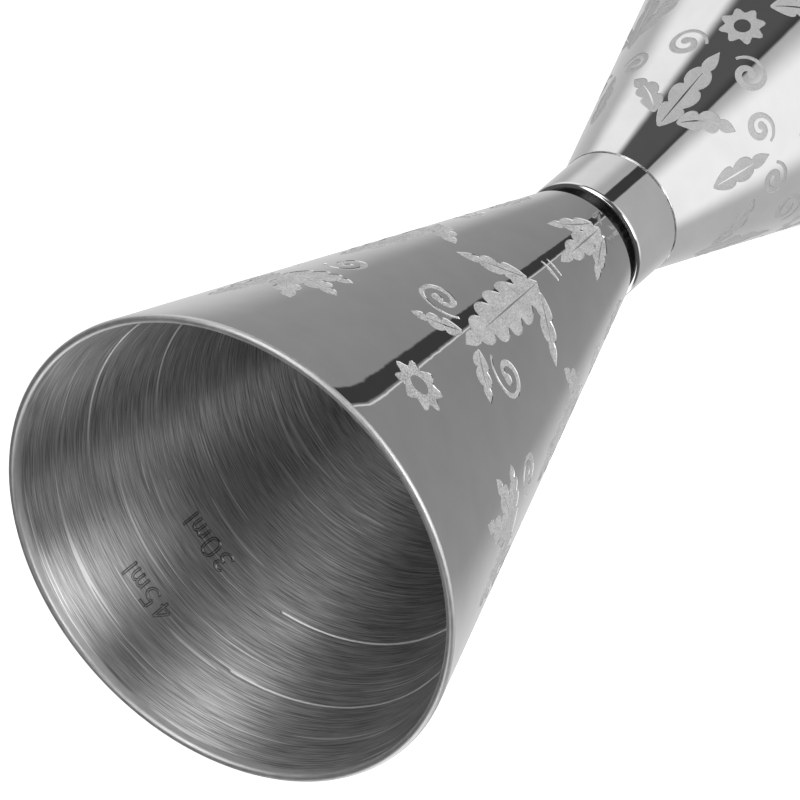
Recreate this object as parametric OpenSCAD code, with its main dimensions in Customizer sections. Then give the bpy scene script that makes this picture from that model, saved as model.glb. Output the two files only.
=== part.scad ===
// Double-cone bar jigger: a 60 ml cup and a 30 ml cup, mouth to mouth on one axis,
// with a turned waist between their closed ends. Z up, small mouth down on z = 0,
// all sizes in millimetres.

/* [Large cup] */
// Diameter over the rim of the large cup
large_rim_d = 52.6; // [45:0.1:65]
// Length of the large cup from its closed end to its rim
large_len = 66.9; // [50:0.1:90]
// Diameter of the large cup's closed end
large_end_d = 14.8; // [10:0.1:24]
// Depth of the 45 ml line below the large cup's rim
large_mark_a = 9.7; // [5:0.1:30]
// Depth of the 30 ml line below the large cup's rim
large_mark_b = 18.5; // [10:0.1:40]

/* [Small cup] */
// Diameter over the rim of the small cup
small_rim_d = 42.2; // [36:0.1:55]
// Length of the small cup from its closed end to its rim
small_len = 48.6; // [35:0.1:70]
// Diameter of the small cup's closed end
small_end_d = 14.4; // [10:0.1:24]
// Depth of the 20 ml line below the small cup's rim
small_mark_a = 9.1; // [4:0.1:20]
// Depth of the 15 ml line below the small cup's rim
small_mark_b = 14.4; // [8:0.1:30]

/* [Sheet and rims] */
// Thickness of the cups' sheet metal
wall = 0.6; // [0.4:0.05:1.5]
// Thickness of the rounded bead along each rim
bead_d = 0.9; // [0.6:0.05:2]
// Width of the flat on top of the bead
bead_flat = 0.4; // [0.1:0.05:0.8]
// Rounding of the outer edge of each closed end
heel_r = 0.3; // [0.1:0.05:1]
// Rounding inside the bottom of each cup
bottom_r = 3; // [0.5:0.1:5]

/* [Waist] */
// Outer diameter of the collar
collar_d = 14.4; // [10:0.1:24]
// Length of the collar
collar_len = 7.5; // [4:0.1:20]
// Rounding of the collar's edge beside the groove
collar_lip_r = 0.5; // [0.1:0.05:0.8]
// Width of the groove between the large cup and the collar
groove = 2.0; // [0.5:0.1:6]
// Diameter of the core inside the collar
core_d = 12.6; // [8:0.1:20]
// Thickness of the brazed joints
braze = 0.1; // [0.05:0.05:0.4]
// Radius of the braze fillet at the bottom of the groove
braze_fillet = 0.4; // [0.1:0.1:0.9]

/* [Marks] */
// Width of the measuring lines
line_w = 0.35; // [0.2:0.05:1]
// Depth of the measuring lines
line_depth = 0.08; // [0.02:0.01:0.3]
// Angle of the gap left in each line for its number
line_gap = 51; // [0:1:120]
// Direction of the gap around the axis
gap_centre = 90; // [0:1:360]

/* [Hidden] */
fn = 96;
arc_steps = 6;

// Heights along the axis
collar_z = small_len + braze;
collar_top_z = collar_z + collar_len;
core_top_z = collar_top_z + groove - braze;
large_z = collar_top_z + groove;
total_h = large_z + large_len;

bead_r = bead_d / 2;
bead_h = sqrt(bead_r * bead_r - bead_flat * bead_flat / 4);

function arc(centre, r, from, to) =
    [for (i = [0:arc_steps]) let (a = from + (to - from) * i / arc_steps)
        centre + r * [cos(a), sin(a)]];

// Centre of the rim bead, for a cup standing on its closed end at z = 0
function bead_centre(rim_d, len) = [rim_d / 2 - bead_r, len - bead_h];

// Angle of the cone's outer line above the horizontal
function side_angle(rim_d, len, end_d) =
    let (v = bead_centre(rim_d, len) - [end_d / 2, 0])
        atan2(v[1], v[0]) - asin(bead_r / norm(v));

// Radius of the inner wall where it would cross z = 0
function inner_r0(end_d, side) = end_d / 2 - wall / sin(side);

// Point on the inner wall at height z
function inner_point(z, end_d, side) = [inner_r0(end_d, side) + z / tan(side), z];

// Half section of a cup's sheet, from the axis around the rim and back, with
// the inner wall divided beside each measuring line
function cup_section(rim_d, len, end_d, marks) =
    let (side = side_angle(rim_d, len, end_d),
         top = bead_centre(rim_d, len),
         flat_a = 90 - asin(bead_flat / bead_d),
         join_a = side + 90 + acos((wall - bead_r) / bead_r),
         corner_r = inner_r0(end_d, side) + wall / tan(side))
        concat([[0, 0]],
            arc([end_d / 2 - heel_r * tan(side / 2), heel_r], heel_r, -90, side - 90),
            arc(top, bead_r, side - 90, flat_a),
            arc(top, bead_r, 180 - flat_a, join_a),
            [for (m = marks) for (s = [line_w, -line_w])
                inner_point(len - m + s, end_d, side)],
            arc([corner_r - bottom_r * tan(side / 2), wall + bottom_r], bottom_r,
                side - 90, -90),
            [[0, wall]]);

// A shallow line around the inside of a cup, open over the gap
module mark_line(mark, rim_d, len, end_d) {
    side = side_angle(rim_d, len, end_d);
    rotate_extrude(angle = 360 - line_gap, start = gap_centre + line_gap / 2, $fn = fn)
        translate(inner_point(len - mark, end_d, side))
            rotate(side)
                square([line_w, 2 * line_depth], center = true);
}

// A drawn cup, closed end down at z = 0, with two measuring lines
module cup(rim_d, len, end_d, marks) {
    difference() {
        rotate_extrude($fn = fn)
            polygon(cup_section(rim_d, len, end_d, marks));
        for (mark = marks)
            mark_line(mark, rim_d, len, end_d);
    }
}

// The larger measuring cup, mouth up
module large_cup() {
    color("silver")
        translate([0, 0, large_z])
            cup(large_rim_d, large_len, large_end_d, [large_mark_a, large_mark_b]);
}

// The smaller measuring cup, mouth down
module small_cup() {
    color("silver")
        translate([0, 0, small_len])
            mirror([0, 0, 1])
                cup(small_rim_d, small_len, small_end_d, [small_mark_a, small_mark_b]);
}

// The turned rod that carries both cups, seen at the bottom of the groove
module waist_core() {
    color("dimgray")
        translate([0, 0, collar_z])
            cylinder(h = core_top_z - collar_z, d = core_d, $fn = fn);
}

// The polished sleeve on the core, with a rounded edge beside the groove
module waist_collar() {
    bore = core_d / 2;
    r = collar_d / 2;
    lip = min(collar_lip_r, (r - bore) * 0.6);
    color("silver")
        rotate_extrude($fn = fn)
            polygon(concat(
                [[bore, collar_z], [r, collar_z]],
                arc([r - lip, collar_top_z - lip], lip, 0, 90),
                [[bore, collar_top_z]]));
}

// Braze between the core and the large cup, with a fillet down the core
module large_braze() {
    r = core_d / 2;
    f = braze_fillet;
    color("gray")
        rotate_extrude($fn = fn)
            polygon(concat(
                [[0, core_top_z], [r, core_top_z]],
                arc([r + f, large_z - f], f, 180, 90),
                [[0, large_z]]));
}

// Braze between the small cup and the end of the core and collar
module small_braze() {
    color("gray")
        translate([0, 0, small_len])
            cylinder(h = braze, d = collar_d - 2 * heel_r, $fn = fn);
}

large_cup();
small_cup();
waist_core();
waist_collar();
large_braze();
small_braze();
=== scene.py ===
import math

import bpy
import numpy as np
from mathutils import Matrix, Vector
from mathutils.geometry import delaunay_2d_cdt


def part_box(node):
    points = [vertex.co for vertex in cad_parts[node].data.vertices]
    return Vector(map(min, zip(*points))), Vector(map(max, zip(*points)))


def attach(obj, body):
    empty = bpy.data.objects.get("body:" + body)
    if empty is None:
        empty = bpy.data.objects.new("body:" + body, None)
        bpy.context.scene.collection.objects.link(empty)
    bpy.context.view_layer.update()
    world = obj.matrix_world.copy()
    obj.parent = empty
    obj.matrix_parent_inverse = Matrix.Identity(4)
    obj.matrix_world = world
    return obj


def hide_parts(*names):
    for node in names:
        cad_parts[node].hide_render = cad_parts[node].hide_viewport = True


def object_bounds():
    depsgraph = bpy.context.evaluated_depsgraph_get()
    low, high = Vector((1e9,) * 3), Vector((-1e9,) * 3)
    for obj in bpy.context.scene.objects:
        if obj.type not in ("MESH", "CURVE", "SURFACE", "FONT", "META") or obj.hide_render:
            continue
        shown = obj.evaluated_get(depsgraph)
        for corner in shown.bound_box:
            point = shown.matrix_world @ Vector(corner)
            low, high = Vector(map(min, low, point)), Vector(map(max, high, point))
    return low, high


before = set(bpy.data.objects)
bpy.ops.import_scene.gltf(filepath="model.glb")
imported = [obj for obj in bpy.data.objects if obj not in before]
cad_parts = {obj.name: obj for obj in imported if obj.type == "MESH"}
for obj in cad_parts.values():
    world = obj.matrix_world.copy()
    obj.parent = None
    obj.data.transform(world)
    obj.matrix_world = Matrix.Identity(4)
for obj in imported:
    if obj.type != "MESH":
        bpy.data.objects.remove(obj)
CAD_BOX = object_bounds()

MM = 0.001

# Direction from the object to the camera, and the numbers' side of the inner walls
VIEW_AZ = -88.11
VIEW_EL = 45.84
VIEW_ROLL = 131.0
VIEW_TARGET = (0.000134, 0.000004, 0.092211)
VIEW_DISTANCE = 0.804257
LENS = 353.8
LABEL_AZ = 86.4

# Cups, collar, sheet and rims, in millimetres, as in the CAD
RIM_R = {"large_cup": 26.3, "small_cup": 21.1}
END_R = {"large_cup": 7.4, "small_cup": 7.2}
COLLAR_BORE_R = 6.3
COLLAR_LIP_R = 0.5
# How far below the large cup's closed end the painted highlight line on the groove's neck sits
GROOVE_PAINTED_GLINT = 0.95
WALL = 0.6
BEAD_R = 0.45
BEAD_FLAT = 0.4
HEEL_R = 0.3
BOTTOM_R = 3.0
BUFFED = 0.4

# Measuring lines, a little wider and deeper than in the CAD so that they show, and the
# degrees left open beside the numbers
LINE_W = 0.4
LINE_DEPTH = 0.1
LINE_EDGE = 0.13
LINE_GAP = 51.0
LINE_BREAK_AZ = 270.0
LINE_BREAK = 0.001

# The polish wanders a little beside the rim: degrees, and how far down
RIM_TURN = 3.0
RIM_TURN_DEEP = 5.0

# The etched ornament
ETCH_DEPTH = 0.05
ETCH_EDGE = 0.07

# The small cup's mirror line, and where the outer skins are closed: clear of any
# ornament, and a whole number of segments around, so that they meet the turned parts
SMALL_AXIS = -60.0
OUTER_SEAM = {"large_cup": 61.5, "small_cup": 90.0}

# Places in a cup's material list; the groove place is brushed steel darkened as painted shade
POLISHED, BRUSHED, ETCHED, CUT_EDGE, SATIN, PAINTED_SHADE_GROOVE = range(6)

# Mesh fineness; how near a border counts as on it; below this grid, points are joined
SEGMENTS = 240
ARC_STEPS = 8
ROW_STEP = 2.5
ON_BORDER = 0.001
CELLS_PER_MM = 2e4


# ---------------------------------------------------------------- camera

def add_camera():
    az, el = math.radians(VIEW_AZ), math.radians(VIEW_EL)
    back = Vector((math.cos(el) * math.cos(az), math.cos(el) * math.sin(az), math.sin(el)))
    right0 = Vector((0, 0, 1)).cross(back).normalized()
    up0 = back.cross(right0)
    roll = math.radians(VIEW_ROLL)
    up = up0 * math.cos(roll) + right0 * math.sin(roll)
    right = up.cross(back)
    cam = bpy.data.cameras.new("camera")
    cam.lens = LENS
    cam.sensor_width = 36.0
    cam.clip_start, cam.clip_end = 0.05, 20.0
    ob = bpy.data.objects.new("camera", cam)
    rot = Matrix((right, up, back)).transposed().to_4x4()
    ob.matrix_world = Matrix.Translation(Vector(VIEW_TARGET) + back * VIEW_DISTANCE) @ rot
    bpy.context.scene.collection.objects.link(ob)
    bpy.context.scene.camera = ob


# ---------------------------------------------------------------- node helpers

class Nodes:
    """A material or world tree, with short ways to add nodes and join them."""

    def __init__(self, tree):
        self.tree = tree
        tree.nodes.clear()

    def add(self, kind, props=None, **inputs):
        node = self.tree.nodes.new(kind)
        for key, value in (props or {}).items():
            setattr(node, key, value)
        for key, value in inputs.items():
            self.put(node, key.replace("_", " "), value)
        return node

    def put(self, node, key, value):
        socket = node.inputs[int(key)] if key.isdigit() else node.inputs[key]
        if isinstance(value, bpy.types.NodeSocket):
            self.tree.links.new(value, socket)
        else:
            socket.default_value = value

    def math(self, op, a, b=None, c=None, clamp=False):
        node = self.tree.nodes.new("ShaderNodeMath")
        node.operation, node.use_clamp = op, clamp
        for i, v in enumerate((a, b, c)):
            if v is not None:
                self.put(node, str(i), v)
        return node.outputs[0]

    def ramp(self, fac, stops, mode="LINEAR"):
        node = self.tree.nodes.new("ShaderNodeValToRGB")
        node.color_ramp.interpolation = mode
        elements = node.color_ramp.elements
        while len(elements) < len(stops):
            elements.new(1.0)
        for e, (pos, value) in zip(elements, stops):
            e.position = pos
            e.color = (value, value, value, 1) if isinstance(value, float) else value
        self.put(node, "0", fac)
        return node.outputs[0]

    def remap(self, v, lo, hi, out_lo, out_hi, smooth=False):
        node = self.tree.nodes.new("ShaderNodeMapRange")
        node.interpolation_type = "SMOOTHSTEP" if smooth else "LINEAR"
        for i, x in enumerate((v, lo, hi, out_lo, out_hi)):
            self.put(node, str(i), x)
        return node.outputs[0]

    def mix(self, fac, a, b):
        node = self.tree.nodes.new("ShaderNodeMix")
        node.data_type = "RGBA"
        self.put(node, "0", fac)
        self.put(node, "6", a)
        self.put(node, "7", b)
        return node.outputs[2]


# ---------------------------------------------------------------- studio

# The room's own soft light by height: degrees up, then light
ROOM = ((-90, 0.3), (-62, 0.38), (-46, 0.6), (-20, 0.65), (5, 0.12), (90, 0.12))

# Soft boxes and one dark card: degrees around from the camera, degrees up,
# width, height, soft edge, light. Later ones stand in front.
PANELS = (
    ("back wall", 180, -50, 80, 100, 40, 0.7),
    ("left box", -35, -18, 80, 40, 25, 1.3),
    ("right box", 85, -25, 50, 50, 25, 1.2),
    ("low left lamp", -28, 10, 34, 30, 14, 4.5),
    ("low right lamp", 45, 12, 35, 30, 20, 2.5),
    ("rear left lamp", -135, 20, 30, 70, 15, 2.0),
    ("high right lamp", 55, 48, 30, 40, 15, 3.5),
    ("overhead", 50, 78, 60, 24, 20, 2.0),
    ("edge strip", 15, -75, 2, 50, 1, 0.9),
    ("dark card", 28, -55, 20, 90, 3, 0.06),
    ("upper dark card", 45, -16, 44, 36, 12, 0.12),
)


def panel_mask(n, around, height, panel):
    """1 where a panel hangs, falling to 0 across its soft edge."""
    _, az, el, wide, tall, soft, _ = panel
    mask = None
    side = n.math("ABSOLUTE", n.math("WRAP", n.math("SUBTRACT", around, float(az)), 180.0, -180.0))
    rise = n.math("ABSOLUTE", n.math("SUBTRACT", height, float(el)))
    for off, size in ((side, wide), (rise, tall)):
        part = n.remap(off, (size - soft) / 2, (size + soft) / 2, 1, 0, smooth=True)
        mask = part if mask is None else n.math("MULTIPLY", mask, part)
    return mask


def add_studio():
    world = bpy.data.worlds.new("studio")
    world.use_nodes = True
    bpy.context.scene.world = world
    n = Nodes(world.node_tree)
    way = n.add("ShaderNodeTexCoord").outputs["Generated"]
    xyz = n.add("ShaderNodeSeparateXYZ", Vector=way)
    turn = n.math("DEGREES", n.math("ARCTAN2", xyz.outputs[1], xyz.outputs[0]))
    around = n.math("SUBTRACT", turn, VIEW_AZ)
    height = n.math("DEGREES", n.math("ARCSINE", xyz.outputs[2]))
    level = n.remap(height, -90, 90, 0, 1)
    light = n.ramp(level, [((el + 90) / 180, float(v)) for el, v in ROOM])
    for panel in PANELS:
        tone = (panel[-1], panel[-1], panel[-1], 1)
        light = n.mix(panel_mask(n, around, height, panel), light, tone)
    glow = n.add("ShaderNodeBackground", Color=light, Strength=1.0)
    pale = n.add("ShaderNodeBackground", Color=(1, 1, 1, 1), Strength=1.0)
    ray = n.add("ShaderNodeLightPath")
    both = n.add("ShaderNodeMixShader")
    n.put(both, "0", ray.outputs["Is Camera Ray"])
    n.put(both, "1", glow.outputs[0])
    n.put(both, "2", pale.outputs[0])
    n.add("ShaderNodeOutputWorld", Surface=both.outputs[0])


def add_floor():
    size = 1.5
    mesh = bpy.data.meshes.new("floor")
    corners = [(x * size, y * size, 0) for x, y in ((-1, -1), (1, -1), (1, 1), (-1, 1))]
    mesh.from_pydata(corners, [], [(0, 1, 2, 3)])
    floor = bpy.data.objects.new("floor", mesh)
    floor.location.z = CAD_BOX[0][2] - 0.0001
    bpy.context.scene.collection.objects.link(floor)
    mat = bpy.data.materials.new("floor_white")
    mat.use_nodes = True
    n = Nodes(mat.node_tree)
    grain = n.add("ShaderNodeTexNoise", Scale=60.0)
    tone = n.remap(grain.outputs[0], 0.3, 0.7, 0.88, 0.9)
    shade = n.add("ShaderNodeBsdfPrincipled", Roughness=0.9)
    n.put(shade, "Base Color", tone)
    shade.inputs["Emission Color"].default_value = (1, 1, 1, 1)
    shade.inputs["Emission Strength"].default_value = 0.7
    n.add("ShaderNodeOutputMaterial", Surface=shade.outputs[0])
    mesh.materials.append(mat)
    floor.visible_glossy = False
    floor.visible_shadow = False


# ---------------------------------------------------------------- materials

def steel(name, colour, roughness):
    mat = bpy.data.materials.new(name)
    mat.use_nodes = True
    n = Nodes(mat.node_tree)
    shade = n.add("ShaderNodeBsdfPrincipled", Metallic=1.0)
    n.put(shade, "Base Color", (colour, colour, colour, 1))
    n.put(shade, "Roughness", roughness)
    n.add("ShaderNodeOutputMaterial", Surface=shade.outputs[0])
    n.shade = shade
    return mat, n


def polished_steel(name, colour=0.64):
    """Mirror polish with a faint waviness and a fine haze in its roughness."""
    mat, n = steel(name, colour, 0.04)
    place = n.add("ShaderNodeTexCoord").outputs["Object"]
    wave = n.add("ShaderNodeTexNoise", Vector=place, Scale=260.0, Detail=2.0)
    haze = n.add("ShaderNodeTexNoise", Vector=place, Scale=900.0, Detail=4.0)
    n.put(n.shade, "Roughness", n.remap(haze.outputs[0], 0.35, 0.7, 0.015, 0.04))
    tone = n.remap(wave.outputs[0], 0.3, 0.7, colour * 0.97, colour * 1.03)
    n.put(n.shade, "Base Color", tone)
    bump = n.add("ShaderNodeBump", Strength=0.06, Distance=0.0002, Height=wave.outputs[0])
    n.put(n.shade, "Normal", bump.outputs[0])
    return mat


def brushed_steel(name, colour=0.62):
    """Turning marks around the axis, in bands and hairlines that wander a little."""
    mat, n = steel(name, colour, 0.25)
    place = n.add("ShaderNodeTexCoord").outputs["Object"]
    xyz = n.add("ShaderNodeSeparateXYZ", Vector=place)
    x, y, z = xyz.outputs
    radius = n.math("SQRT", n.math("ADD", n.math("MULTIPLY", x, x), n.math("MULTIPLY", y, y)))
    cx, cy = n.math("DIVIDE", x, radius), n.math("DIVIDE", y, radius)
    way = n.math("ADD", z, radius)

    def streaks(length, fineness, lean_x, lean_y, detail):
        level = n.math("MULTIPLY_ADD", x, lean_x, n.math("MULTIPLY_ADD", y, lean_y, way))
        at = n.add("ShaderNodeCombineXYZ", X=n.math("MULTIPLY", cx, length), Y=n.math("MULTIPLY", cy, length),
                   Z=n.math("MULTIPLY", level, fineness))
        return n.add("ShaderNodeTexNoise", Vector=at.outputs[0], Scale=1.0, Detail=detail,
                     Roughness=0.6).outputs[0]
    bands = streaks(2.0, 1300.0, 0.01, 0.005, 2.0)
    marks = streaks(4.0, 9500.0, 0.016, -0.01, 3.0)
    hairs = streaks(7.0, 17000.0, -0.03, 0.018, 3.0)
    height = n.math("MULTIPLY_ADD", hairs, 0.7, n.math("MULTIPLY_ADD", bands, 0.15, marks))
    scores = streaks(1.6, 2600.0, 0.022, -0.012, 0.0)
    bright = n.remap(scores, 0.73, 0.77, 0, 1)
    n.put(n.shade, "Roughness", n.remap(marks, 0.3, 0.7, 0.3, 0.4))
    tone = n.remap(height, 0.74, 1.11, colour * 0.45, colour * 1.4)
    n.put(n.shade, "Base Color", n.math("MULTIPLY_ADD", bright, colour * 0.9, tone, clamp=True))
    n.put(n.shade, "Anisotropic", 0.9)
    n.shade.inputs["Specular Tint"].default_value = (0.35, 0.35, 0.35, 1)
    n.put(n.shade, "Anisotropic Rotation", 0.25)
    spin = n.add("ShaderNodeTangent", {"direction_type": "RADIAL", "axis": "Z"})
    n.put(n.shade, "Tangent", spin.outputs[0])
    bump = n.add("ShaderNodeBump", Strength=0.6, Distance=0.00003, Height=height)
    n.put(n.shade, "Normal", bump.outputs[0])
    return mat


def core_steel(name):
    """The neck in the groove, painted near black as painted shade, with one painted highlight line around it.
    """
    mat, n = steel(name, 0.1, 0.3)
    place = n.add("ShaderNodeTexCoord").outputs["Object"]
    z = n.add("ShaderNodeSeparateXYZ", Vector=place).outputs[2]
    off = n.math("ABSOLUTE", n.math("SUBTRACT", z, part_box("large_cup")[0][2] - GROOVE_PAINTED_GLINT * MM))
    grain = n.add("ShaderNodeTexNoise", Vector=place, Scale=2500.0, Detail=3.0)
    # Painted shade: the neck's steel is darkened to near black so that the groove reads as shadow
    base = n.remap(grain.outputs[0], 0.3, 0.7, 0.015, 0.05)
    # Painted highlight: a bright band around the neck, added to its colour
    line = n.remap(off, 0.06 * MM, 0.12 * MM, 1, 0)
    n.put(n.shade, "Base Color", n.math("MULTIPLY_ADD", line, 0.75, base))
    n.put(n.shade, "Roughness", n.remap(grain.outputs[0], 0.3, 0.7, 0.25, 0.4))
    return mat


def satin_steel(name, colour):
    """The buffed rim and the sides of the measuring lines."""
    mat, n = steel(name, colour, 0.4)
    place = n.add("ShaderNodeTexCoord").outputs["Object"]
    grain = n.add("ShaderNodeTexNoise", Vector=place, Scale=1500.0, Detail=2.0)
    n.put(n.shade, "Roughness", n.remap(grain.outputs[0], 0.3, 0.7, 0.42, 0.52))
    n.put(n.shade, "Base Color", n.remap(grain.outputs[0], 0.3, 0.7, colour * 0.95, colour * 1.03))
    return mat


def etched_steel(name, colour=0.48, contrast=0.5):
    """The matt, grainy floor of the etched ornament."""
    mat, n = steel(name, colour, 0.5)
    n.put(n.shade, "Metallic", 0.55)
    place = n.add("ShaderNodeTexCoord").outputs["Object"]
    grain = n.add("ShaderNodeTexNoise", Vector=place, Scale=5200.0, Detail=3.0, Roughness=0.8)
    cloud = n.add("ShaderNodeTexNoise", Vector=place, Scale=500.0, Detail=2.0)
    n.put(n.shade, "Roughness", n.remap(grain.outputs[0], 0.3, 0.7, 0.5, 0.75))
    light = n.math("MULTIPLY_ADD", cloud.outputs[0], 0.2, grain.outputs[0])
    n.put(n.shade, "Base Color", n.remap(light, 0.4, 0.8, colour * (1 - contrast), colour * (1 + contrast)))
    bump = n.add("ShaderNodeBump", Strength=0.7, Distance=0.00005, Height=grain.outputs[0])
    n.put(n.shade, "Normal", bump.outputs[0])
    return mat


# ---------------------------------------------------------------- meshes

class Build:
    """Faces with their own normals and materials, joined where points meet."""

    def __init__(self):
        self.points, self.index = [], {}
        self.faces, self.mats, self.normals = [], [], []

    def point(self, p):
        key = tuple(round(c * CELLS_PER_MM) for c in p)
        if key not in self.index:
            self.index[key] = len(self.points)
            self.points.append(Vector(p))
        return self.index[key]

    def face(self, corners, normals, mat):
        ids = [self.point(p) for p in corners]
        keep = [i for i in range(len(ids)) if ids[i] != ids[i - 1]]
        if len(keep) < 3 or len({ids[i] for i in keep}) < len(keep):
            return
        ids = [ids[i] for i in keep]
        p = [self.points[i] for i in ids]
        flat = (p[1] - p[0]).cross(p[2] - p[0])
        normals = [flat.normalized() for _ in keep] if normals is None else [normals[i] for i in keep]
        if normals and flat.dot(normals[0]) < 0:
            ids.reverse()
            normals.reverse()
        self.faces.append(ids)
        self.mats.append(mat)
        self.normals.extend(normals)

    def make(self, name, materials, node):
        mesh = bpy.data.meshes.new(name)
        mesh.from_pydata([p * MM for p in self.points], [], self.faces)
        for m in materials:
            mesh.materials.append(m)
        mesh.polygons.foreach_set("material_index", self.mats)
        mesh.polygons.foreach_set("use_smooth", [True] * len(self.faces))
        mesh.normals_split_custom_set(self.normals)
        ob = bpy.data.objects.new(name, mesh)
        bpy.context.scene.collection.objects.link(ob)
        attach(ob, "root")
        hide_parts(node)
        return ob


def spin(build, profile, mat, place):
    """Turn a profile of (point, normal) pairs around the axis."""
    for i in range(SEGMENTS):
        for (p, pn), (q, qn) in zip(profile, profile[1:]):
            corners, normals = [], []
            for (rh, nn), k in (((p, pn), i), ((p, pn), i + 1), ((q, qn), i + 1), ((q, qn), i)):
                a = math.tau * k / SEGMENTS
                corners.append(place(rh[0], a, rh[1]))
                normals.append(place(nn[0], a, nn[1], True))
            build.face(corners, normals, mat)


def arc(cx, cy, r, a0, a1, outward=1, steps=ARC_STEPS):
    """Points and normals along an arc, angles in degrees."""
    out = []
    for i in range(steps + 1):
        a = math.radians(a0 + (a1 - a0) * i / steps)
        c, s = math.cos(a), math.sin(a)
        out.append(((cx + r * c, cy + r * s), (outward * c, outward * s)))
    return out


class Cup:
    """A drawn cup's section, measured up from its closed end."""

    def __init__(self, node, up):
        low, high = (Vector(p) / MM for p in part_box(node))
        self.up = up
        self.z_end = low.z if up > 0 else high.z
        self.length = high.z - low.z
        self.rim_r = RIM_R[node]
        self.end_r = END_R[node]
        self.bead = (self.rim_r - BEAD_R, self.length - math.sqrt(BEAD_R ** 2 - BEAD_FLAT ** 2 / 4))
        dx, dy = self.bead[0] - self.end_r, self.bead[1]
        self.side = math.atan2(dy, dx) - math.asin(BEAD_R / math.hypot(dx, dy))
        self.cos, self.sin = math.cos(self.side), math.sin(self.side)
        self.side_deg = math.degrees(self.side)
        self.inner_r0 = self.end_r - WALL / self.sin
        self.flat_a = 90 - math.degrees(math.asin(BEAD_FLAT / 2 / BEAD_R))
        self.join_a = self.side_deg + 90 + math.degrees(math.acos((WALL - BEAD_R) / BEAD_R))

    def place(self, r, a, h, direction=False):
        if direction:
            return Vector((r * math.cos(a), r * math.sin(a), h * self.up))
        return Vector((r * math.cos(a), r * math.sin(a), self.z_end + h * self.up))

    def closed_end(self):
        heel_x = self.end_r - HEEL_R * math.tan(self.side / 2)
        down = (0, -1)
        return [((0, 0), down), ((heel_x, 0), down)] + arc(heel_x, HEEL_R, HEEL_R, -90, self.side_deg - 90)

    def lip(self):
        x, y = self.bead
        outer = arc(x, y, BEAD_R, self.side_deg - 90, self.flat_a)
        inner = arc(x, y, BEAD_R, 180 - self.flat_a, self.join_a)
        wall = (-self.sin, self.cos)
        return outer + [(p, wall if n[1] < self.cos else n) for p, n in inner]

    def bottom(self):
        corner = self.inner_r0 + WALL / math.tan(self.side)
        x = corner - BOTTOM_R * math.tan(self.side / 2)
        return arc(x, WALL + BOTTOM_R, BOTTOM_R, self.side_deg - 90, -90, -1) + [((0, WALL), (0, 1))]

    def rho_outer(self, h):
        return (self.end_r + h / math.tan(self.side)) / self.cos

    def rho_inner(self, h):
        return (self.inner_r0 + h / math.tan(self.side)) / self.cos


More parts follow.
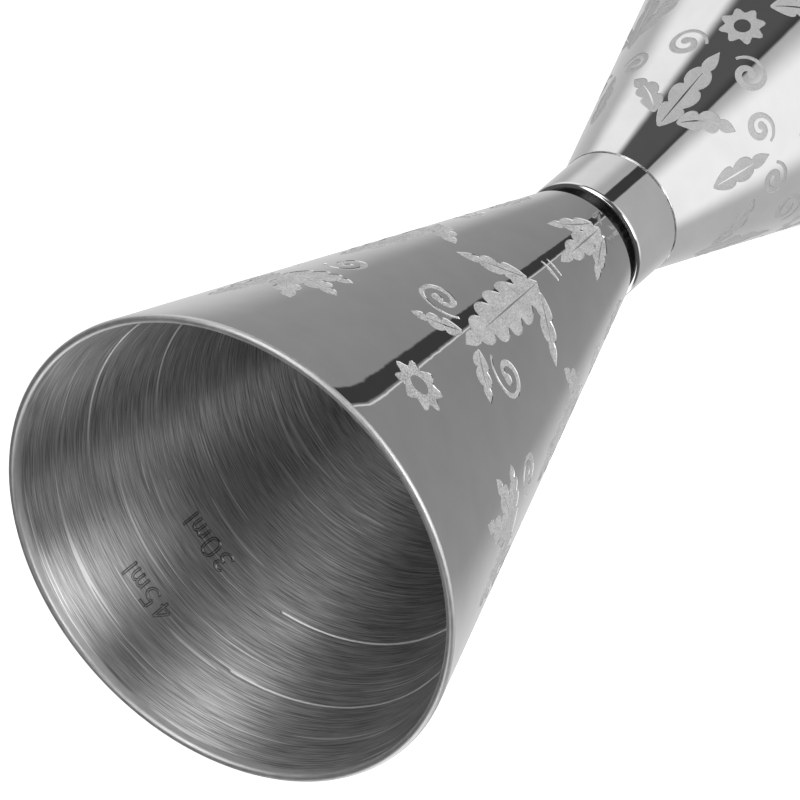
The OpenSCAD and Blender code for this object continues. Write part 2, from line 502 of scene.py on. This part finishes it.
class Skin:
    """One cone of a cup, laid out flat so that outlines can be cut into it."""

    def __init__(self, cup, inner, h0, h1, seam_az):
        self.cup, self.inner = cup, inner
        rho = cup.rho_inner if inner else cup.rho_outer
        self.rho0, self.rho1 = rho(h0), rho(h1)
        self.seam = math.radians(seam_az)
        self.shapes, self.kept = [], []

    def flat(self, az_deg, rho):
        """Where a direction and a distance from the tip lie on the flat layout."""
        turn = (math.radians(az_deg) - self.seam) % math.tau
        psi = (turn - math.pi) * self.cup.cos
        return Vector((rho * math.cos(psi), rho * math.sin(psi)))

    def height_rho(self, depth):
        """Distance from the tip for a depth below the rim."""
        rho = self.cup.rho_inner if self.inner else self.cup.rho_outer
        return rho(self.cup.length - depth)

    def solid(self, p, sink):
        """The flat layout's point back on the cone, sunk into the sheet."""
        rho = p.length
        a = math.atan2(p.y, p.x) / self.cup.cos + math.pi + self.seam
        c = self.cup
        r = rho * c.cos
        h = (r - (c.inner_r0 if self.inner else c.end_r)) * math.tan(c.side)
        sign = -1 if self.inner else 1
        nr, nh = sign * c.sin, -sign * c.cos
        dip = 0 if self.inner else RIM_TURN * max(0.0, 1 - (c.length - h) / RIM_TURN_DEEP) ** 2
        return c.place(r - sink * nr, a, h - sink * nh), c.place(nr, a - math.radians(dip), nh, True)

    def grid(self):
        rows = max(3, int((self.rho1 - self.rho0) / ROW_STEP))
        half = math.pi * self.cup.cos
        pts = []
        for j in range(rows + 1):
            rho = self.rho0 + (self.rho1 - self.rho0) * j / rows
            pts.append([Vector((rho * math.cos(t), rho * math.sin(t)))
                        for t in (half * (2 * i / SEGMENTS - 1) for i in range(SEGMENTS + 1))])
        return pts

    def cut(self, outline, slope=ETCH_EDGE, edge=CUT_EDGE):
        """Sink an outline into the sheet; edge is the material of its sloping side."""
        outline = anticlockwise(outline)
        self.shapes.append((outline, drawn_in(outline, slope), edge))

    def keep(self, outline):
        self.kept.append(anticlockwise(outline))

    def between_borders(self, flat, tris):
        """False for a triangle outside the layout, with every corner on one of its borders."""
        reach = np.hypot(flat[:, 0], flat[:, 1])
        to_seam = (math.pi * self.cup.cos - abs(np.arctan2(flat[:, 1], flat[:, 0]))) * reach
        on_ring = (reach[tris] < self.rho0 + ON_BORDER).all(axis=1)
        on_seam = (to_seam[tris] < ON_BORDER).all(axis=1)
        return ~(on_ring | on_seam)

    def faces(self, build, depth, base, floor_mat):
        pts = [p for row in self.grid() for p in row]
        count, rows = SEGMENTS + 1, len(pts) // (SEGMENTS + 1)
        border = ([i for i in range(count - 1, 0, -1)] + [j * count for j in range(rows - 1)]
                  + [(rows - 1) * count + i for i in range(count - 1)]
                  + [j * count + SEGMENTS for j in range(rows - 1, 0, -1)])
        edges = []
        for loop in [x for shape in self.shapes for x in shape[:2]] + self.kept:
            first, n = len(pts), len(loop)
            edges.extend((first + i, first + (i + 1) % n) for i in range(n))
            pts.extend(loop)
        v, _, f, _, _, _ = delaunay_2d_cdt(pts, edges, [border], 1, 1e-5, False)
        flat = np.array([(p.x, p.y) for p in v])
        tris = np.array([ids[:3] for ids in f])
        real = self.between_borders(flat, tris)
        f, tris = [ids for ids, ok in zip(f, real) if ok], tris[real]
        middle = flat[tris].mean(axis=1)
        level = np.zeros(len(f), int)
        edges_of = np.zeros(len(f), int)
        for outline, inset, edge in self.shapes:
            here = inside(middle, outline)
            level = np.maximum(level, here * (1 + inside(middle, inset)))
            edges_of[here == 1] = edge
        for outline in self.kept:
            level *= 1 - inside(middle, outline)
        low, high = np.full(len(v), 2), np.zeros(len(v), int)
        for k in range(3):
            np.minimum.at(low, tris[:, k], level)
            np.maximum.at(high, tris[:, k], level)
        sink = np.where(low == 0, 0.0, np.where(high == 2, depth, depth * 0.5))
        placed = [self.solid(p, float(d)) for p, d in zip(v, sink)]
        for ids, kind, edge in zip(f, level, edges_of):
            corners = [placed[i][0] for i in ids]
            normals = [placed[i][1] for i in ids]
            if kind == 1:
                flat_n = (corners[1] - corners[0]).cross(corners[2] - corners[0])
                flat_n = -flat_n if flat_n.dot(normals[0]) < 0 else flat_n
                if flat_n.length > 1e-9:
                    normals = [flat_n.normalized()] * len(ids)
            build.face(corners, normals, (base, int(edge), floor_mat)[kind])


def anticlockwise(loop):
    area = sum(a.x * b.y - b.x * a.y for a, b in zip(loop, loop[1:] + loop[:1]))
    return loop if area > 0 else loop[::-1]


def drawn_in(loop, by):
    """The outline moved inwards."""
    out = []
    for a, p, b in zip(loop[-1:] + loop[:-1], loop, loop[1:] + loop[:1]):
        d = (b - a)
        out.append(p + Vector((-d.y, d.x)).normalized() * by if d.length else p)
    return out


def inside(points, loop):
    """1 for each point that the loop goes around, else 0."""
    ring = np.array([(p.x, p.y) for p in loop])
    lo, hi = ring.min(axis=0), ring.max(axis=0)
    near = np.nonzero(((points >= lo) & (points <= hi)).all(axis=1))[0]
    out = np.zeros(len(points), int)
    if len(near) == 0:
        return out
    p = points[near][:, None, :]
    a, b = ring[None, :, :], np.roll(ring, -1, axis=0)[None, :, :]
    ab, ap = b - a, p - a
    side = ab[..., 0] * ap[..., 1] - ap[..., 0] * ab[..., 1]
    up = (a[..., 1] <= p[..., 1]) & (b[..., 1] > p[..., 1]) & (side > 0)
    down = (a[..., 1] > p[..., 1]) & (b[..., 1] <= p[..., 1]) & (side < 0)
    out[near] = (up.sum(axis=1) != down.sum(axis=1)).astype(int)
    return out


# ---------------------------------------------------------------- outlines

def smooth_path(points, step=0.25):
    """A smooth line through the points, resampled evenly."""
    pts = [Vector(p) for p in points]
    if len(pts) == 2:
        dense = pts
    else:
        ext = [pts[0] * 2 - pts[1]] + pts + [pts[-1] * 2 - pts[-2]]
        dense = []
        for i in range(len(pts) - 1):
            a, b, c, d = ext[i:i + 4]
            for k in range(8):
                t = k / 8
                dense.append(0.5 * ((2 * b) + (c - a) * t + (2 * a - 5 * b + 4 * c - d) * t * t
                                    + (3 * b - a - 3 * c + d) * t ** 3))
        dense.append(pts[-1])
    lengths = [0.0]
    for p, q in zip(dense, dense[1:]):
        lengths.append(lengths[-1] + (q - p).length)
    count = max(3, int(lengths[-1] / step) + 1)
    out, j = [], 0
    for i in range(count + 1):
        s = lengths[-1] * i / count
        while j < len(lengths) - 2 and lengths[j + 1] < s:
            j += 1
        span = lengths[j + 1] - lengths[j]
        out.append(dense[j].lerp(dense[j + 1], (s - lengths[j]) / span if span else 0))
    return out


def ribbon(path, width):
    """Outline of a band along a path; width(t) is its half width, t from 0 to 1."""
    total = len(path) - 1
    left, right = [], []
    for i, p in enumerate(path):
        tangent = (path[min(i + 1, total)] - path[max(i - 1, 0)]).normalized()
        normal = Vector((-tangent.y, tangent.x)) * width(i / total)
        left.append(p + normal)
        right.append(p - normal)
    return left + right[::-1]


def taper(start, middle, end):
    return lambda t: start + (middle - start) * 2 * t if t < 0.5 else middle + (end - middle) * (2 * t - 1)


# ---------------------------------------------------------------- numbers

# Strokes of each sign, in a box 1 wide and 2 high
SIGNS = {
    "0": [[(0.5, 2), (0.1, 1.75), (0, 1), (0.1, 0.25), (0.5, 0)],
          [(0.5, 0), (0.9, 0.25), (1, 1), (0.9, 1.75), (0.5, 2)]],
    "3": [[(0.05, 1.75), (0.45, 2), (0.9, 1.7), (0.75, 1.2), (0.4, 1.05)],
          [(0.4, 1.05), (0.85, 0.85), (0.95, 0.4), (0.5, 0), (0, 0.25)]],
    "4": [[(0.75, 0), (0.75, 2)], [(0.75, 2), (0, 0.6)], [(0, 0.6), (1.05, 0.6)]],
    "5": [[(0.9, 2), (0.15, 2)], [(0.15, 2), (0.1, 1.1)],
          [(0.1, 1.1), (0.5, 1.25), (0.95, 0.9), (0.9, 0.3), (0.45, 0), (0, 0.2)]],
    "2": [[(0.05, 1.6), (0.4, 2), (0.9, 1.75), (0.8, 1.15), (0, 0)], [(0, 0), (1, 0)]],
    "1": [[(0.2, 1.6), (0.55, 2)], [(0.55, 2), (0.55, 0)]],
    "m": [[(0, 0), (0, 1.3)], [(0, 0.95), (0.3, 1.3), (0.6, 0.95), (0.6, 0)],
          [(0.6, 0.95), (0.9, 1.3), (1.2, 0.95), (1.2, 0)]],
    "l": [[(0, 0), (0, 2)]],
}
SIGN_W = {"m": 1.2, "l": 0.0}


def write_number(skin, text, az, depth, height=2.3, stroke=0.36):
    """Cut a number into an inner wall, its top towards the rim."""
    tall, wide, gap = height / 2, height * 0.56, 0.72
    total = sum(SIGN_W.get(c, 1.0) * wide for c in text) + gap * (len(text) - 1)
    base = skin.flat(az, skin.height_rho(depth))
    up = base.normalized()
    along = Vector((-up.y, up.x)) * -skin.cup.up
    x = -total / 2
    for c in text:
        for line in SIGNS[c]:
            points = [base + along * (x + px * wide) + up * ((py - 1) * tall) for px, py in line]
            path = smooth_path(points, 0.12)
            # The numbers' sloping sides take the darkened groove steel, painted shade in the cuts
            skin.cut(ribbon(path, lambda t: stroke / 2), LINE_EDGE, PAINTED_SHADE_GROOVE)
        x += SIGN_W.get(c, 1.0) * wide + gap


def mark_line(skin, depth, centre_az):
    """A measuring line around the inside, open beside its number."""
    rho = skin.height_rho(depth)
    first, last = centre_az + LINE_GAP / 2, centre_az + 360 - LINE_GAP / 2
    for lo, hi in ((first, LINE_BREAK_AZ - LINE_BREAK), (LINE_BREAK_AZ + LINE_BREAK, last)):
        azs = [lo + (hi - lo) * i / 180 for i in range(181)]
        upper = [skin.flat(a, rho + LINE_W / 2) for a in azs]
        lower = [skin.flat(a, rho - LINE_W / 2) for a in azs[::-1]]
        skin.cut(upper + lower, LINE_EDGE, SATIN)


# ---------------------------------------------------------------- ornament

class Pen:
    """Draws on an outer skin in millimetres: x from a column's middle, down from the rim."""

    def __init__(self, skin, az, side=1):
        self.skin, self.side = skin, side
        self.edge = CUT_EDGE if skin.cup.up > 0 else ETCHED
        self.rim = skin.cup.rho_outer(skin.cup.length)
        self.up = skin.flat(az, 1.0)
        self.along = Vector((-self.up.y, self.up.x))

    def flat(self, points):
        return [self.up * (self.rim - down) + self.along * (self.side * x) for x, down in points]

    def patch(self, points):
        self.skin.cut(self.flat(points), edge=self.edge)

    def stroke(self, points, width):
        self.skin.cut(ribbon(self.flat(points), width), edge=self.edge)

    def vein(self, points, width):
        """A polished line left standing."""
        self.skin.keep(ribbon(self.flat(points), width))

    def hole(self, points):
        """A polished patch left standing."""
        self.skin.keep(self.flat(points))


# How deep a leaf's notches go, how far its lobes lean forward, and its narrowest half width
NOTCH = 0.45
LEAN = 0.5
STALK = 0.14


def leaf(pen, x, down, length, width, turn=0.0, bend=0.0, lobes=4):
    """A lobed leaf from its foot; turn is its direction off straight to the rim, in degrees."""
    steps = lobes * 8
    left, right, rib = [], [], []
    for i in range(steps + 1):
        t = i / steps
        a = math.radians(turn + bend * t)
        dx, dy = math.sin(a), -math.cos(a)
        lobe = 1 - NOTCH * (1 - math.sin(math.pi * (lobes * t % 1)) ** 0.6)
        half = width / 2 * math.sin(math.pi * t ** 0.7) ** 0.8 * lobe + STALK * (1 - t)
        lean = LEAN * half
        left.append((x - dy * half + dx * lean, down + dx * half + dy * lean))
        right.append((x + dy * half + dx * lean, down - dx * half + dy * lean))
        rib.append((x, down))
        x, down = x + dx * length / steps, down + dy * length / steps
    pen.patch(left + right[::-1])
    pen.vein(rib[2:steps * 3 // 4], taper(0.03, 0.1, 0.02))


def round_path(x, down, radius, waves=0, depth=0.0, steps=48):
    """A circle, or a ring of petals where waves is not 0."""
    out = []
    for i in range(steps):
        a = math.tau * i / steps
        r = radius * (1 - depth + depth * math.cos(waves * a))
        out.append((x + r * math.cos(a), down + r * math.sin(a)))
    return out


def rosette(pen, x, down, radius, petals=8):
    pen.patch(round_path(x, down, radius, petals, 0.14))
    pen.hole(round_path(x, down, radius * 0.36, steps=20))


def scroll(pen, x, down, radius, turns=1.3, width=0.42):
    """A stem that winds inwards to a bud."""
    steps = int(radius * turns * 14)
    path = []
    for i in range(steps + 1):
        t = i / steps
        a = math.radians(200) + math.tau * turns * t
        r = radius * (1 - 0.8 * t)
        path.append((x + r * math.cos(a), down + r * math.sin(a)))
    pen.stroke(path, taper(width * 0.4, width, width * 0.8))
    pen.patch(round_path(*path[-1], radius * 0.24, steps=20))


def bar(pen, down, half, width):
    pen.stroke([(half * k / 8, down) for k in range(-8, 9)], taper(width * 0.5, width, width * 0.5))


def mirrored(skin, az, draw):
    for side in (-1, 1):
        draw(Pen(skin, az, side))


def large_side(pen):
    """Half of a main column of the large cup."""
    scroll(pen, 5.2, 30.5, 2.9)
    leaf(pen, 1.2, 28.0, 6.5, 2.6, 38, 30, 3)
    leaf(pen, 1.0, 46.5, 8.5, 3.0, 40, 40, 3)
    leaf(pen, 0.9, 66.0, 7.5, 2.2, 16, 20, 3)


def large_column(skin, az):
    pen = Pen(skin, az)
    rosette(pen, 0, 13.5, 3.3)
    leaf(pen, 0, 47.5, 21, 5.8, lobes=6)
    bar(pen, 51.4, 1.4, 0.3)
    bar(pen, 52.6, 1.2, 0.22)
    leaf(pen, 0, 66.5, 12, 3.0)
    mirrored(skin, az, large_side)


def spray_side(pen):
    """Half of the spray of leaves between two main columns."""
    for turn, length in ((32, 11.0), (62, 9.5), (92, 7.5)):
        leaf(pen, 0.8, 22.5, length, 3.4, turn, 12)
    scroll(pen, 3.9, 28.5, 2.4)
    leaf(pen, 0.8, 49.0, 7.5, 2.6, 30, 35, 3)


def spray_column(skin, az):
    pen = Pen(skin, az)
    leaf(pen, 0, 22.5, 12.5, 3.8)
    leaf(pen, 0, 50.0, 18.0, 5.0, lobes=5)
    rosette(pen, 0, 55.0, 1.9, 6)
    leaf(pen, 0, 66.0, 7.5, 2.8, lobes=3)
    mirrored(skin, az, spray_side)


def large_ornament(skin):
    for turn in (0, 120, 240):
        large_column(skin, VIEW_AZ + turn)
        spray_column(skin, VIEW_AZ + turn + 60)


def small_side(pen):
    """Half of a main column of the small cup."""
    scroll(pen, 4.0, 33.0, 2.3)
    leaf(pen, 1.4, 43.5, 7.0, 2.6, 34, 40, 3)
    leaf(pen, 1.0, 24.0, 7.5, 2.8, 48, 25, 3)


def small_between(pen):
    """Half of a lesser column of the small cup."""
    scroll(pen, 3.0, 36.0, 1.9)
    leaf(pen, 0.8, 30.0, 8.5, 2.8, 34, 25, 3)


def small_ornament(skin):
    for turn in (0, 120, 240):
        pen = Pen(skin, SMALL_AXIS + turn)
        rosette(pen, 0, 28.0, 2.6)
        leaf(pen, 0, 23.5, 11.0, 4.2)
        leaf(pen, 0, 45.0, 12.5, 3.2)
        mirrored(skin, SMALL_AXIS + turn, small_side)
        pen = Pen(skin, SMALL_AXIS + turn + 60)
        rosette(pen, 0, 12.5, 2.2, 6)
        leaf(pen, 0, 31.5, 14.0, 4.0)
        leaf(pen, 0, 44.5, 8.5, 2.6, lobes=3)
        mirrored(skin, SMALL_AXIS + turn + 60, small_between)


# ---------------------------------------------------------------- pieces

def make_cup(node, up, marks, mats, ornament):
    cup = Cup(node, up)
    build = Build()
    # The large cup's closed end, facing into the groove, takes the darkened groove steel as painted shade
    spin(build, cup.closed_end(), PAINTED_SHADE_GROOVE if up > 0 else BRUSHED, cup.place)
    spin(build, cup.lip(), SATIN, cup.place)
    spin(build, cup.bottom(), BRUSHED, cup.place)
    lip, end, bottom = cup.lip(), cup.closed_end(), cup.bottom()
    (r, h), normal = lip[-1]
    below = ((r - BUFFED * cup.cos, h - BUFFED * cup.sin), normal)
    spin(build, [lip[-1], below], SATIN, cup.place)
    outer = Skin(cup, False, end[-1][0][1], lip[0][0][1], OUTER_SEAM[node])
    ornament(outer)
    outer.faces(build, ETCH_DEPTH, POLISHED, ETCHED)
    inner = Skin(cup, True, bottom[0][0][1], below[0][1], LINE_BREAK_AZ)
    for text, depth in marks:
        write_number(inner, text, LABEL_AZ, depth + 0.2)
        mark_line(inner, depth, 90.0)
    inner.faces(build, LINE_DEPTH, BRUSHED, BRUSHED)
    return build.make(node + "_steel", mats, node)


def make_collar(mat):
    low, high = (Vector(p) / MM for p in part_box("waist_collar"))
    r, bore, lip = high.x, COLLAR_BORE_R, COLLAR_LIP_R
    out = (1, 0)
    profile = [((bore, low.z), (0, -1)), ((r, low.z), (0, -1))]
    body = [((r, low.z), out), ((r, high.z - lip), out)]
    rim = arc(r - lip, high.z - lip, lip, 0, 90)
    top = [rim[-1], ((bore, high.z), (0, 1))]
    hole = [((bore, high.z), (-1, 0)), ((bore, low.z), (-1, 0))]
    build = Build()
    place = Cup("large_cup", 1).place
    z0 = Cup("large_cup", 1).z_end

    def here(rr, a, h, direction=False):
        return place(rr, a, h if direction else h - z0, direction)
    for part in (profile, body, rim, top, hole):
        spin(build, part, 0, here)
    return build.make("waist_collar_steel", [mat], "waist_collar")


def main():
    scene = bpy.context.scene
    scene.view_settings.view_transform = "Standard"
    scene.cycles.max_bounces = scene.cycles.glossy_bounces = 16
    add_camera()
    add_studio()
    add_floor()
    polished = polished_steel("polished_steel")
    brushed = brushed_steel("brushed_steel")
    etched = etched_steel("etched_steel")
    edge = polished_steel("cut_edge_steel", 0.7)
    # Brushed steel darkened to 0.22: painted shade in the groove and in the numbers' cuts
    groove_painted_shade = brushed_steel("groove_steel_painted_shade", 0.22)
    mats = [polished, brushed, etched, edge, satin_steel("satin_steel", 0.62), groove_painted_shade]
    make_cup("large_cup", 1, (("45ml", 9.7), ("30ml", 18.5)), mats, large_ornament)
    mats[ETCHED] = etched_steel("etched_soft_steel", 0.47, 0.2)
    make_cup("small_cup", -1, (("20ml", 9.1), ("15ml", 14.4)), mats, small_ornament)
    make_collar(polished)
    # The neck is painted near black as painted shade, with a painted highlight line around it
    dark = core_steel("neck_steel_painted_shade_and_glint")
    # The brazes in the groove are darkened to 0.1 as painted shade
    braze = etched_steel("braze_metal", 0.1)
    for node, mat in (("waist_core", dark), ("large_braze", braze), ("small_braze", braze)):
        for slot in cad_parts[node].material_slots:
            slot.material = mat


main()
